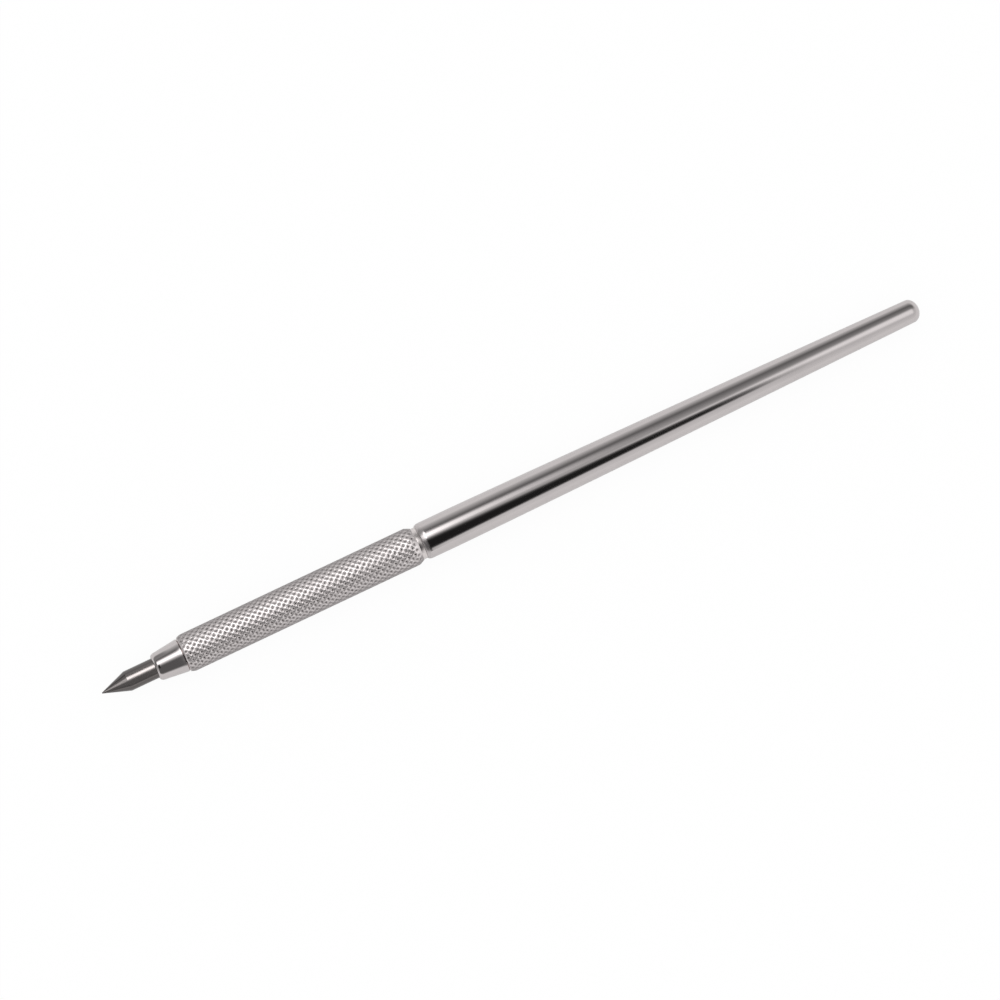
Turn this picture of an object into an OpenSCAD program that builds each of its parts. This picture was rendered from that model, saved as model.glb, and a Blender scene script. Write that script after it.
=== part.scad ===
// Carbide scriber, in millimetres.
// The tool lies along X with its point towards -X, rests on z = 0 and has x = 0 at the middle of its length.

/* [Carbide point] */
// Diameter of the carbide rod
point_d = 3.5; // [2.5:0.1:4.2]
// Length of the ground cone
point_cone_l = 4.65; // [3:0.05:7.5]
// Diameter of the blunt end of the cone
point_tip_d = 0.16; // [0.06:0.02:0.4]
// Length of the rod that stands out of the holder
point_out_l = 9.7; // [8:0.1:20]
// Length of the rod that is brazed into the holder
point_seat_l = 4.5; // [2:0.1:4.6]
// Chamfer on the seated end of the rod
point_chamfer = 0.2; // [0.05:0.05:0.5]

/* [Point holder] */
// Length of the polished nose in front of the grip
nose_l = 5; // [4.8:0.1:12]
// Wall of the nose round the rod, just behind its lip
nose_wall = 0.65; // [0.4:0.05:1.2]
// Diameter of the nose at its shoulder
nose_rear_d = 5.85; // [5.2:0.05:6.4]
// Length of the rounded lip at the front of the nose
lip_l = 1; // [0.3:0.1:2]
// Width of the flat edge left at the front of the lip
lip_edge = 0.1; // [0.05:0.05:0.3]
// Length of the threaded shank
shank_l = 8; // [5:0.5:14]

/* [Knurled grip] */
// Diameter over the ridges of the knurl
grip_d = 6.6; // [6:0.05:9]
// Length of the full-height knurl
knurl_l = 41; // [25:0.1:60]
// Ridges of each hand that wind round the grip
knurl_starts = 18; // [14:2:26]
// Distance along the grip from one diamond to the next in its row
knurl_pitch = 1.2; // [0.9:0.05:2]
// Depth of the diamond pits
knurl_depth = 0.25; // [0.1:0.05:0.4]
// Diameter of the grip's front face
grip_front_d = 5.95; // [5.4:0.05:6.5]
// Length of the bevel behind the front face
front_bevel_l = 1; // [0.4:0.1:2]
// Length of the bevel behind the knurl
rear_bevel_l = 1; // [0.4:0.1:2]
// Diameter of the neck behind the knurl
neck_d = 5.55; // [5.1:0.05:5.8]
// Length of the neck
neck_l = 0.7; // [0.2:0.1:3]
// Step from the neck up to the foot of the rear bevel
neck_step = 0.06; // [0.04:0.01:0.1]

/* [Joining stud] */
// Outer diameter of the threads on the stud and on the holder's shank
thread_d = 4; // [3:0.1:4.4]
// Length of the stud on each side of the joint
stud_reach = 7; // [4:0.5:12]
// Chamfer on the ends of the threads and at the mouths of their holes
thread_chamfer = 0.4; // [0.1:0.1:0.5]
// Width across the flats of the stud's hexagon socket
socket_af = 2; // [1:0.1:2.4]
// Depth of the hexagon socket
socket_depth = 2.2; // [1:0.1:3]

/* [Handle] */
// Diameter of the straight front of the handle
handle_d = 6.35; // [5.8:0.05:9]
// Diameter of the handle's front face
handle_face_d = 5.7; // [5.2:0.05:5.8]
// Length of the rounding behind the front face
handle_round_l = 1.1; // [0.4:0.1:2]
// Length of the straight front, behind the rounding
handle_land_l = 5; // [3:0.1:20]
// Length of the taper
taper_l = 83.9; // [40:0.1:120]
// Diameter at the end of the taper
tail_d = 4; // [3:0.05:5.6]
// Swell of the taper: 1 is a straight cone, more is fuller in front
taper_swell = 1.2; // [1:0.05:1.6]
// Length of the domed tail
dome_l = 1.6; // [0.6:0.1:3]

/* [Clearances] */
// Gap all round the rod in its seat, filled by the braze
braze_gap = 0.05; // [0.02:0.01:0.1]
// Gap all round each thread in its hole
thread_gap = 0.05; // [0.02:0.01:0.1]
// Spare depth of a threaded hole behind the thread in it
hole_spare = 0.5; // [0.2:0.1:2]

/* [Hidden] */

$fn = 96;
drill_angle = 118;
lip_steps = 8;
round_steps = 8;
taper_steps = 24;
dome_steps = 12;

// Stations along the tool, from the tip of the point
nose_at = point_out_l;
grip_at = nose_at + nose_l;
knurl_at = grip_at + front_bevel_l;
knurl_end = knurl_at + knurl_l;
bevel_end = knurl_end + rear_bevel_l;
joint_at = bevel_end + neck_l;
land_at = joint_at + handle_round_l;
taper_at = land_at + handle_land_l;
dome_at = taper_at + taper_l;
tool_l = dome_at + dome_l;

seat_d = point_d + 2 * braze_gap;
nose_front_d = seat_d + 2 * nose_wall;
hole_d = thread_d + 2 * thread_gap;

// Knurl grid: a ring every half pitch, a column every half start
knurl_columns = 2 * knurl_starts;
knurl_body_l = bevel_end - grip_at;
knurl_rings = round(2 * knurl_body_l / knurl_pitch);

// At rest the tool lies on two rows of ridge crossings, half a column to either side of the lowest line
rest_turn = 180 / knurl_columns;
axis_height = max(grip_d / 2 * cos(rest_turn), handle_d / 2);

// Lays a piece modelled upright, tip station down, along the tool
module along_tool() {
    translate([-tool_l / 2, 0, axis_height]) rotate([0, 90, 0]) rotate([0, 0, rest_turn]) children();
}

// Turns an outline of [radius, station] points into a round piece
module turned(outline) {
    along_tool() rotate_extrude() polygon(outline);
}

// Points of a quarter ellipse that leaves the face square on and ends tangent to the side
function rounded(face_r, side_r, from, to, steps) = [
    for (k = [0 : steps])
        let (a = 90 * k / steps)
        [face_r + (side_r - face_r) * sin(a), to + (from - to) * cos(a)]
];

// A drilled and countersunk hole whose mouth is at the lower end
module threaded_hole(depth) {
    tip_l = hole_d / 2 / tan(drill_angle / 2);
    mouth_r = hole_d / 2 + thread_chamfer;
    rotate_extrude() polygon([
        [0, -1],
        [mouth_r + 1, -1],
        [mouth_r, 0],
        [hole_d / 2, thread_chamfer],
        [hole_d / 2, depth],
        [0, depth + tip_l]
    ]);
}

module carbide_point() {
    end = point_out_l + point_seat_l;
    color("dimgray") turned([
        [0, 0],
        [point_tip_d / 2, 0],
        [point_d / 2, point_cone_l],
        [point_d / 2, end - point_chamfer],
        [point_d / 2 - point_chamfer, end],
        [0, end]
    ]);
}

module point_holder() {
    seat_end = nose_at + point_seat_l;
    shank_end = grip_at + shank_l;
    color("gainsboro") turned(concat(
        [[seat_d / 2, seat_end], [seat_d / 2, nose_at]],
        rounded(seat_d / 2 + lip_edge, nose_front_d / 2, nose_at, nose_at + lip_l, lip_steps),
        [
            [nose_rear_d / 2, grip_at],
            [thread_d / 2, grip_at],
            [thread_d / 2, shank_end - thread_chamfer],
            [thread_d / 2 - thread_chamfer, shank_end],
            [0, shank_end],
            [0, seat_end]
        ]
    ));
}

// Radius of the bevelled envelope that the knurl is cut into, at a height above the front face
function bevel_r(h) = min(
    grip_d / 2,
    grip_front_d / 2 + (grip_d - grip_front_d) / 2 * h / front_bevel_l,
    neck_d / 2 + neck_step + (grip_d - neck_d - 2 * neck_step) / 2 * (knurl_body_l - h) / rear_bevel_l
);

// Radius of the knurl where ring i meets column j: ridges cross where i + j is even, pits lie between
function knurl_r(i, j) = min(
    bevel_r(knurl_body_l * i / knurl_rings),
    (i + j) % 2 == 0 ? grip_d / 2 : grip_d / 2 - knurl_depth
);

// Solid bar with raised ridges of both hands round diamond pits
module knurled_bar() {
    points = [
        for (i = [0 : knurl_rings], j = [0 : knurl_columns - 1])
            let (a = 360 * j / knurl_columns, r = knurl_r(i, j))
            [r * cos(a), r * sin(a), knurl_body_l * i / knurl_rings]
    ];
    function at(i, j) = i * knurl_columns + j % knurl_columns;
    // Each cell is creased along the ridge that crosses it
    sides = [
        for (i = [0 : knurl_rings - 1], j = [0 : knurl_columns - 1])
            each (i + j) % 2 == 0
                ? [[at(i, j), at(i + 1, j), at(i + 1, j + 1)], [at(i, j), at(i + 1, j + 1), at(i, j + 1)]]
                : [[at(i, j), at(i + 1, j), at(i, j + 1)], [at(i + 1, j), at(i + 1, j + 1), at(i, j + 1)]]
    ];
    front = [for (j = [0 : knurl_columns - 1]) at(0, j)];
    rear = [for (j = [knurl_columns - 1 : -1 : 0]) at(knurl_rings, j)];
    polyhedron(points, concat(sides, [front, rear]));
}

module knurled_grip() {
    color("silver") along_tool() difference() {
        union() {
            translate([0, 0, grip_at]) knurled_bar();
            translate([0, 0, knurl_end]) cylinder(d = neck_d, h = joint_at - knurl_end);
        }
        translate([0, 0, grip_at]) threaded_hole(shank_l + hole_spare);
        translate([0, 0, joint_at]) mirror([0, 0, 1]) threaded_hole(stud_reach + hole_spare);
    }
}

module joining_stud() {
    front = joint_at - stud_reach;
    end = joint_at + stud_reach;
    color("darkgray") difference() {
        turned([
            [0, front],
            [thread_d / 2 - thread_chamfer, front],
            [thread_d / 2, front + thread_chamfer],
            [thread_d / 2, end - thread_chamfer],
            [thread_d / 2 - thread_chamfer, end],
            [0, end]
        ]);
        along_tool() translate([0, 0, front - 1]) cylinder(d = socket_af / cos(30), h = socket_depth + 1, $fn = 6);
    }
}

// Radius of the taper at a share t of its length
function taper_r(t) = (handle_d - (handle_d - tail_d) * pow(t, taper_swell)) / 2;

module handle() {
    color("whitesmoke") difference() {
        turned(concat(
            [[0, joint_at]],
            rounded(handle_face_d / 2, handle_d / 2, joint_at, land_at, round_steps),
            [for (k = [0 : taper_steps]) [taper_r(k / taper_steps), taper_at + taper_l * k / taper_steps]],
            [
                for (k = [1 : dome_steps])
                    let (a = 90 * k / dome_steps)
                    [k < dome_steps ? tail_d / 2 * cos(a) : 0, dome_at + dome_l * sin(a)]
            ]
        ));
        along_tool() translate([0, 0, joint_at]) threaded_hole(stud_reach + hole_spare);
    }
}

carbide_point();
point_holder();
knurled_grip();
joining_stud();
handle();
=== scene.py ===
"""Carbide scriber: turned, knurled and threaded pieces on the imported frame, in a white studio."""
import logging
import math
from dataclasses import dataclass, replace
from enum import Enum
from typing import Callable, Iterable, NamedTuple, Protocol, Sequence, Union

import bmesh
import bpy
from bmesh.types import BMEdge, BMesh, BMVert
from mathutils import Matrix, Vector


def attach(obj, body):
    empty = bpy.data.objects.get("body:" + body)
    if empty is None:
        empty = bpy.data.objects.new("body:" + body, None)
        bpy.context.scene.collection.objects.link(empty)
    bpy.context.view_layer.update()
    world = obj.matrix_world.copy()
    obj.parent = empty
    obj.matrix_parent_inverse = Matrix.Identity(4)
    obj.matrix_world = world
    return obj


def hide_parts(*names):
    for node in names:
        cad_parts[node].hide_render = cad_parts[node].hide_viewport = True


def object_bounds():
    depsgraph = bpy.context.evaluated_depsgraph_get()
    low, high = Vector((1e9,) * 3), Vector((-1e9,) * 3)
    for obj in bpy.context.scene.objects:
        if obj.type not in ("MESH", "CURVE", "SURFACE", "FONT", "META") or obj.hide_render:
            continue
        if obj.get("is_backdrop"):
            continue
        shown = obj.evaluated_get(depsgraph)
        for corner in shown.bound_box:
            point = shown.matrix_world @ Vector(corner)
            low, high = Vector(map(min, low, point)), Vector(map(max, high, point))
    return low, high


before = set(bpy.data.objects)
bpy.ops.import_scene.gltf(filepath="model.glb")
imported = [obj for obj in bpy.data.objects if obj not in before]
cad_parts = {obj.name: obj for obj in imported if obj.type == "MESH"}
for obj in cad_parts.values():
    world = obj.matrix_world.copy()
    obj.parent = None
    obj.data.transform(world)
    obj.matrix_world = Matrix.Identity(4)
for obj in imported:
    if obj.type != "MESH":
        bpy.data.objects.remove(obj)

LOG = logging.getLogger("scriber")
FULL_TURN = 2 * math.pi
HEXAGON = 6
# Metres in a millimetre
MM = 0.001
# Points closer than this, in metres, are one point
WELD = 1e-6
# Distance past an edge, in mm, from which its other side counts
PAST_EDGE = 0.02

Outline = list[tuple[float, float]]
Stops = Sequence[tuple[float, float]]
Colour = tuple[float, float, float]
Link = bpy.types.NodeSocket
Feed = Union[Link, float, Colour]
Row = list[Union[BMVert, BMEdge]]

# Plain dull metal of threads and holes
BORE_COLOUR: Colour = (0.2, 0.195, 0.19)


class Body(Enum):
    """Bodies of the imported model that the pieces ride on."""

    POINT = "point"
    HOLDER = "holder"
    GRIP = "grip"
    STUD = "stud"
    HANDLE = "handle"


class Slot(Enum):
    """Material slots of the record."""

    CARBIDE = "carbide"
    NOSE = "polished_nose"
    KNURL = "knurled_steel"
    STUD = "stud_steel"
    HANDLE = "polished_handle"


class Mark(Enum):
    """Values kept on the vertices for the finishes."""

    PIT = "pit"
    BORE = "bore"
    TURNED = "turned"
    LEVEL = "level"


# Shapes


class Spot(NamedTuple):
    """A point on the tool: its station and radius in mm, and its turn in radians."""

    station: float
    radius: float
    turn: float


@dataclass(frozen=True)
class ToolLine:
    """Centre line of the tool, with the stations at which its pieces meet.

    Stations are in mm from the tip; turns are in radians from straight down towards +Y.
    """

    tip_x: float
    height: float
    nose_at: float = 9.7
    seat_at: float = 14.2
    grip_at: float = 14.7
    joint_at: float = 58.4
    tail_at: float = 150.0

    @classmethod
    def of_frame(cls) -> "ToolLine":
        """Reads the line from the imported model's box."""
        low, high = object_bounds()
        return cls(low.x, (low.z + high.z) / 2)

    def x_of(self, station: float) -> float:
        """Place of a station along X, in metres."""
        return self.tip_x + station * MM

    def place(self, station: float, radius: float, turn: float) -> Vector:
        """Finds the point at a station, radius and turn.

        Args:
            station: Distance from the tip in mm.
            radius: Distance from the centre line in mm.
            turn: Angle from straight down towards +Y, in radians.

        Returns:
            The point in metres.
        """
        side, drop = radius * MM * math.sin(turn), radius * MM * math.cos(turn)
        return Vector((self.x_of(station), side, self.height - drop))

    def read(self, point: Vector) -> Spot:
        """Finds where a point lies on the tool.

        Args:
            point: The point in metres.

        Returns:
            Its station, radius and turn.
        """
        drop = self.height - point.z
        station = (point.x - self.tip_x) / MM
        return Spot(station, math.hypot(point.y, drop) / MM, math.atan2(point.y, drop))


def ease(share: float) -> float:
    """Smooth step from 0 to 1."""
    share = min(1.0, max(0.0, share))
    return share * share * (3 - 2 * share)


def quarter_round(face: tuple[float, float], side: tuple[float, float], steps: int) -> Outline:
    """Makes a quarter ellipse that leaves a face square on and ends along the side.

    Args:
        face: Station and radius where it leaves the face.
        side: Station and radius where it meets the side.
        steps: Number of short edges.

    Returns:
        The points from the face to the side.
    """
    (s0, r0), (s1, r1) = face, side
    angles = [math.pi / 2 * k / steps for k in range(steps + 1)]
    return [(s1 + (s0 - s1) * math.cos(a), r0 + (r1 - r0) * math.sin(a)) for a in angles]


@dataclass(frozen=True)
class Thread:
    """A right-hand metric coarse thread with flat crests and roots, and what its holes add, in mm."""

    pitch: float = 0.7
    outer_r: float = 2.0
    root_r: float = 1.57
    flank_steps: int = 3
    hole_gap: float = 0.05
    mouth_r: float = 2.45
    rim_r: float = 2.6

    def in_hole(self) -> "Thread":
        """The thread of the hole that this one turns in."""
        return replace(self, outer_r=self.outer_r + self.hole_gap, root_r=self.root_r + self.hole_gap)

    def outline(self, first: int, last: int) -> Outline:
        """Draws the thread's zigzag between two crests, with flanks that lean 30 degrees.

        Args:
            first: Number of the first pitch, counted from a crest.
            last: Number of the pitch after the last one.

        Returns:
            Points of station from that crest, and radius.
        """
        half_crest = self.pitch / 16
        fall = self.outer_r - self.root_r
        run = fall / math.sqrt(3)
        shares = [k / self.flank_steps for k in range(self.flank_steps + 1)]
        down = [(half_crest + run * share, self.outer_r - fall * share) for share in shares]
        up = [(self.pitch - s, r) for s, r in reversed(down)]
        return [(n * self.pitch + s, r) for n in range(first, last) for s, r in down + up]


def add_row(bm: BMesh, points: Iterable[Vector]) -> Row:
    """Adds a row of points joined by edges.

    Args:
        bm: The mesh that gets the row.
        points: The points in order, in metres.

    Returns:
        The new vertices and edges.
    """
    verts = [bm.verts.new(point) for point in points]
    edges = [bm.edges.new(pair) for pair in zip(verts, verts[1:])]
    return [*verts, *edges]


def open_edges(bm: BMesh, x: float) -> list[BMEdge]:
    """Open edges that lie in the plane at a place along X, in metres."""
    return [e for e in bm.edges if e.is_boundary and all(abs(v.co.x - x) < WELD for v in e.verts)]


def extrude(bm: BMesh, edges: list[BMEdge]) -> list[BMVert]:
    """Extrudes edges and gives the new vertices, which still lie on the old ones."""
    made = bmesh.ops.extrude_edge_only(bm, edges=edges)["geom"]
    return [g for g in made if isinstance(g, BMVert)]


def to_object(bm: BMesh, name: str) -> bpy.types.Object:
    """Turns a finished mesh into an object of the scene.

    Args:
        bm: The mesh, which is freed.
        name: Name of the object and of its mesh.

    Returns:
        The object, at the origin.
    """
    mesh = bpy.data.meshes.new(name)
    bm.to_mesh(mesh)
    bm.free()
    made = bpy.data.objects.new(name, mesh)
    bpy.context.scene.collection.objects.link(made)
    return made


class Lathe:
    """Makes one round piece on the tool's centre line."""

    def __init__(self, line: ToolLine) -> None:
        """Starts with an empty mesh."""
        self.line = line
        self.bm: BMesh = bmesh.new()

    def turn(self, outline: Outline, segments: int, start: float = 0.0) -> list[BMVert]:
        """Turns an outline into a round skin.

        Args:
            outline: Points of station and radius in mm.
            segments: Number of faces round the skin.
            start: Turn of the first row of points, in radians.

        Returns:
            The vertices of the skin.
        """
        known = set(self.bm.verts)
        row = add_row(self.bm, (self.line.place(s, r, start) for s, r in outline))
        self._spin(self.bm, row, segments)
        bmesh.ops.remove_doubles(self.bm, verts=[v for v in self.bm.verts if v not in known], dist=WELD)
        return [v for v in self.bm.verts if v not in known]

    def cut_thread(
        self,
        thread: Thread,
        span: tuple[float, float],
        crest_at: float,
        limit: Callable[[Spot], float],
        segments: int = 96,
    ) -> None:
        """Adds a helical thread skin, trimmed square at both ends.

        Args:
            thread: The thread's form.
            span: Stations between which it is kept.
            crest_at: Station of a crest on the lowest line.
            limit: Gives the radius that chamfers and reliefs leave at a point of the thread.
            segments: Number of faces in one turn.
        """
        start, end = span
        first = math.floor((start - crest_at) / thread.pitch) - 2
        last = math.ceil((end - crest_at) / thread.pitch) + 1
        skin = bmesh.new()
        outline = thread.outline(first, last)
        row = add_row(skin, (self.line.place(crest_at + s, r, 0.0) for s, r in outline))
        self._spin(skin, row, segments, thread.pitch * MM / segments)
        bmesh.ops.remove_doubles(skin, verts=skin.verts, dist=WELD)
        for station, outward in ((start, -1.0), (end, 1.0)):
            bmesh.ops.bisect_plane(
                skin,
                geom=[*skin.verts, *skin.edges, *skin.faces],
                dist=WELD / 10,
                plane_co=(self.line.x_of(station), 0.0, 0.0),
                plane_no=(outward, 0.0, 0.0),
                clear_outer=True,
            )
        for vert in skin.verts:
            spot = self.line.read(vert.co)
            vert.co = self.line.place(spot.station, limit(spot), spot.turn)
        mesh = bpy.data.meshes.new("thread_skin")
        skin.to_mesh(mesh)
        skin.free()
        self.bm.from_mesh(mesh)
        bpy.data.meshes.remove(mesh)

    def _spin(self, bm: BMesh, row: Row, segments: int, climb: float = 0.0) -> None:
        """Spins a row of points once round the centre line.

        Args:
            bm: The mesh that holds the row.
            row: The row's vertices and edges.
            segments: Number of steps in the turn.
            climb: Travel along X with each step of a thread, in metres.
        """
        bmesh.ops.spin(
            bm,
            geom=row,
            cent=(self.line.tip_x, 0.0, self.line.height),
            axis=(1.0, 0.0, 0.0),
            dvec=(climb, 0.0, 0.0),
            angle=FULL_TURN,
            steps=segments,
            use_merge=climb == 0.0,
        )

    def join(self, station: float) -> None:
        """Closes the flat ring between the two open loops at a station."""
        edges = open_edges(self.bm, self.line.x_of(station))
        bmesh.ops.triangle_fill(self.bm, edges=edges, use_beauty=True, normal=(1.0, 0.0, 0.0))

    def close(self, station: float, tip: float) -> None:
        """Closes the open loop at a station with a cone.

        Args:
            station: Station of the loop.
            tip: Station of the cone's tip.
        """
        verts = extrude(self.bm, open_edges(self.bm, self.line.x_of(station)))
        for vert in verts:
            vert.co = self.line.place(tip, 0.0, 0.0)
        bmesh.ops.remove_doubles(self.bm, verts=verts, dist=WELD)

    def round_edges(self, corners: Iterable[tuple[float, float]], width: float, segments: int = 3) -> None:
        """Breaks the sharp edges that run round the piece at the given corners.

        Args:
            corners: Station and radius of each corner.
            width: Width of the rounding in mm.
            segments: Number of faces across the rounding.
        """
        wanted = list(corners)
        near = 2 * WELD / MM

        def on_corner(vert: BMVert) -> bool:
            """Whether a vertex lies on one of the corners."""
            spot = self.line.read(vert.co)
            return any(abs(spot.station - s) < near and abs(spot.radius - r) < near for s, r in wanted)

        on = {v for v in self.bm.verts if on_corner(v)}
        edges = [e for e in self.bm.edges if on.issuperset(e.verts) and len(e.link_faces) == 2]
        bmesh.ops.bevel(
            self.bm,
            geom=edges,
            offset=width * MM,
            affect="EDGES",
            segments=segments,
            profile=0.5,
            material=-1,
        )

    def mark(self, name: Mark, rule: Callable[[Spot], float]) -> None:
        """Keeps a value on every vertex for the finish to read.

        Args:
            name: Name of the value.
            rule: Gives the value at a point.
        """
        layer = self.bm.verts.layers.float.new(name.value)
        for vert in self.bm.verts:
            vert[layer] = rule(self.line.read(vert.co))

    def finish(
        self,
        name: str,
        crease: float = 32.0,
        soft: Callable[[Spot], bool] | None = None,
    ) -> bpy.types.Object:
        """Turns the mesh into an object with outward faces, smooth but for its creases.

        Args:
            name: Name of the piece.
            crease: Angle in degrees past which an edge is sharp.
            soft: Tells where edges stay smooth at any angle.

        Returns:
            The new object, linked to the scene.

        Raises:
            ValueError: If the mesh isn't closed.
        """
        bmesh.ops.recalc_face_normals(self.bm, faces=self.bm.faces)
        for face in self.bm.faces:
            face.smooth = True
        for edge in self.bm.edges:
            if len(edge.link_faces) != 2:
                raise ValueError(f"{name} has an open edge")
            middle = self.line.read((edge.verts[0].co + edge.verts[1].co) / 2)
            if soft and soft(middle):
                continue
            edge.smooth = edge.calc_face_angle(0.0) < math.radians(crease)
        return to_object(self.bm, name)


# Finishes


class NodeSheet:
    """Places shader nodes on a tree and links them."""

    def __init__(self, tree: bpy.types.NodeTree) -> None:
        """Starts on a tree that may hold other nodes."""
        self.tree = tree

    def add(self, kind: str, **values: object) -> bpy.types.Node:
        """Adds a node.

        Args:
            kind: The node's type.
            values: Properties of the node; a link or a value for an input is given as in_0, in_1 and so on.

        Returns:
            The new node.
        """
        node = self.tree.nodes.new(kind)
        for key, value in values.items():
            if key.startswith("in_"):
                self.feed(node.inputs[int(key[3:])], value)
            else:
                setattr(node, key, value)
        return node

    def feed(self, socket: Link, value: Feed) -> None:
        """Links another node's socket to an input, or sets the input's value.

        Args:
            socket: The input.
            value: The other socket, or a number or a colour.
        """
        if isinstance(value, Link):
            self.tree.links.new(value, socket)
        elif socket.type == "RGBA":
            socket.default_value = (*value, 1.0)
        else:
            socket.default_value = value

    def math(self, operation: str, first: Feed, second: Feed = 0.0, clamp: bool = False) -> Link:
        """Adds a Math node.

        Args:
            operation: The node's operation.
            first: Link or value of the first input.
            second: Link or value of the second input.
            clamp: Whether the result stays between 0 and 1.

        Returns:
            The result's socket.
        """
        node = self.add("ShaderNodeMath", operation=operation, use_clamp=clamp, in_0=first, in_1=second)
        return node.outputs[0]

    def times(self, first: Feed, second: Feed) -> Link:
        """Multiplies two values."""
        return self.math("MULTIPLY", first, second)

    def plus(self, first: Feed, second: Feed, weight: float) -> Link:
        """Adds the second value, times a weight, to the first."""
        return self.math("ADD", first, self.times(second, weight))

    def ramp(self, value: Feed, low: Feed, high: Feed, to_low: float = 0.0, to_high: float = 1.0) -> Link:
        """Maps a range smoothly to another.

        Args:
            value: The link to map.
            low: Start of its range.
            high: End of its range.
            to_low: Result at the start.
            to_high: Result at the end.

        Returns:
            The result's socket.
        """
        node = self.add("ShaderNodeMapRange", interpolation_type="SMOOTHSTEP", clamp=True)
        given = {"Value": value, "From Min": low, "From Max": high, "To Min": to_low, "To Max": to_high}
        for name, item in given.items():
            self.feed(node.inputs[name], item)
        return node.outputs[0]

    def mix(self, share: Feed, first: Feed, second: Feed) -> Link:
        """Mixes two colours.

        Args:
            share: Share of the second colour.
            first: The first colour.
            second: The second colour.

        Returns:
            The mixed colour's socket.
        """
        node = self.add("ShaderNodeMix", data_type="RGBA")
        for index, item in ((0, share), (6, first), (7, second)):
            self.feed(node.inputs[index], item)
        return node.outputs[2]

    def place(self) -> Link:
        """The point's place in the tool's own frame."""
        return self.add("ShaderNodeTexCoord").outputs["Object"]

    def noise(self, vector: Link, scale: Feed, detail: float, dimensions: str = "3D") -> Link:
        """Adds a noise texture.

        Args:
            vector: Link for its coordinates, or for W with one dimension.
            scale: Its scale.
            detail: Its detail.
            dimensions: Its dimensions.

        Returns:
            Its value's socket.
        """
        node = self.add("ShaderNodeTexNoise", noise_dimensions=dimensions)
        self.feed(node.inputs["W" if dimensions == "1D" else "Vector"], vector)
        self.feed(node.inputs["Scale"], scale)
        self.feed(node.inputs["Detail"], detail)
        return node.outputs[0]

    def marked(self, name: Mark) -> Link:
        """A value kept on the vertices."""
        return self.add("ShaderNodeAttribute", attribute_name=name.value).outputs["Fac"]


class MaterialSheet(NodeSheet):
    """The sheet of a new material."""

    def __init__(self, name: str) -> None:
        """Starts the material.

        Args:
            name: Name of the material.
        """
        self.material = bpy.data.materials.new(name)
        self.material.use_nodes = True
        super().__init__(self.material.node_tree)


class MetalSheet(MaterialSheet):
    """The sheet of a new metal."""

    def __init__(self, name: str, metal: float = 1.0) -> None:
        """Starts the metal with its shader.

        Args:
            name: Name of the material.
            metal: Its share of metal.
        """
        super().__init__(name)
        self.shader = self.tree.nodes["Principled BSDF"]
        self.shader.inputs["Metallic"].default_value = metal

    def facing(self) -> Link:
        """0 where the surface is seen square on, rising to 1 at its outline."""
        return self.add("ShaderNodeLayerWeight").outputs["Facing"]

    def roughness(self, base: float, *shares: tuple[Link, float]) -> Link:
        """Adds up a roughness.

        Args:
            base: Roughness of the plain surface.
            shares: Masks, each with what it adds where it is full.

        Returns:
            The sum's socket, kept between 0 and 1.
        """
        total = base
        for mask, weight in shares:
            total = self.plus(total, mask, weight)
        return self.math("ADD", total, clamp=True)

    def finish(self, tint: Link, roughness: Link, height: Link, depth: float) -> bpy.types.Material:
        """Gives the shader its colour, roughness and relief.

        Args:
            tint: The colour.
            roughness: The roughness.
            height: Height of the relief.
            depth: What a height of 1 stands for, in metres.

        Returns:
            The material.
        """
        bump = self.add("ShaderNodeBump")
        bump.inputs["Strength"].default_value = 1.0
        bump.inputs["Distance"].default_value = depth
        self.feed(bump.inputs["Height"], height)
        for name, link in (("Base Color", tint), ("Roughness", roughness), ("Normal", bump.outputs[0])):
            self.feed(self.shader.inputs[name], link)
        return self.material


class StageSheet(MaterialSheet):
    """The sheet of a new material of the studio."""

    def __init__(self, name: str) -> None:
        """Starts a material without nodes."""
        super().__init__(name)
        self.tree.nodes.clear()

    def finish(self, surface: Link) -> bpy.types.Material:
        """Gives the material its surface.

        Args:
            surface: The shader's socket.

        Returns:
            The material.
        """
        result = self.add("ShaderNodeOutputMaterial")
        self.feed(result.inputs["Surface"], surface)
        return self.material


class Effect(Enum):
    """Surface effects that several finishes share."""

    TOOL_LINES = "tool_lines"
    HAIRLINES = "hairlines"
    SPECKS = "specks"
    CLOUDS = "clouds"


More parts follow.
